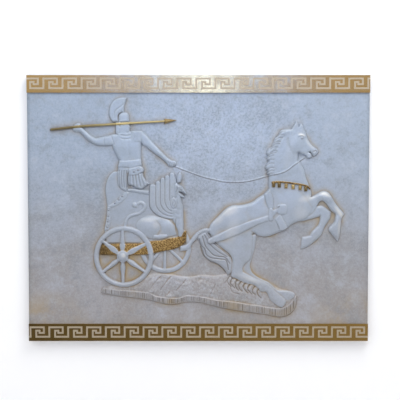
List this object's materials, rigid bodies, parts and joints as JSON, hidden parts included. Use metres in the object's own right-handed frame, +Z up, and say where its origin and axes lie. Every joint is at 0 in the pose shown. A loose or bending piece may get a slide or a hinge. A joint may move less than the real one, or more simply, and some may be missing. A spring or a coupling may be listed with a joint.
{
  "type": "wall relief",
  "caption": "Rectangular cast wall relief of a charioteer in a two-wheeled chariot behind a rearing horse, with fret trim bands above and below.",
  "frame": {"origin": "middle of the flat back face, at the wall mount", "axes": "+Z up the wall, -Y out of the wall towards the viewer, +X to the viewer's right"},
  "size_m": [1, 0.04, 0.78],
  "materials": {
    "cast_paint": "satin pearl paint with a brown wash in the hollows, on a cast gypsum or resin body; spear, chariot floor and horse collar painted gold",
    "gilded_band": "polished gold foil face with a pale matt fret line"
  },
  "bodies": {
    "root": {"relief_panel": "cast_paint", "key_band_top": "gilded_band", "key_band_bottom": "gilded_band"}
  },
  "joints": []
}
